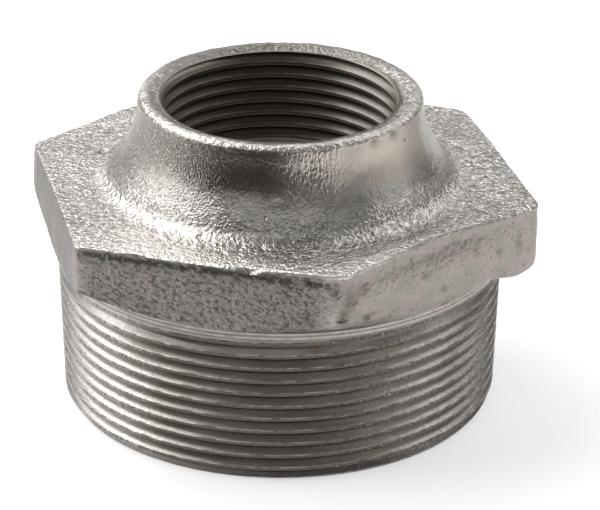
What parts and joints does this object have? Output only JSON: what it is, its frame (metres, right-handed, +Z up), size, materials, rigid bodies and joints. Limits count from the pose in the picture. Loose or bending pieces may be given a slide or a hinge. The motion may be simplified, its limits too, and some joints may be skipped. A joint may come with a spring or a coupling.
{
  "type": "hex bushing",
  "caption": "Reducing hexagon bushing: tapered male pipe thread below a cast hexagon head, with a parallel female pipe thread in a raised collar.",
  "frame": {"origin": "centre of the shank's end face, on the axis of both threads; the part stands on this face", "axes": "+Z up along the thread axis towards the collar; two opposite corners of the hexagon lie on X, and two flats face -Y and +Y"},
  "size_m": [0.0898, 0.0784, 0.054],
  "materials": {
    "galvanised_iron": "hot-dip zinc over a rough casting, threads cut afterwards"
  },
  "bodies": {
    "root": {"hex_bushing": "galvanised_iron"}
  },
  "joints": []
}
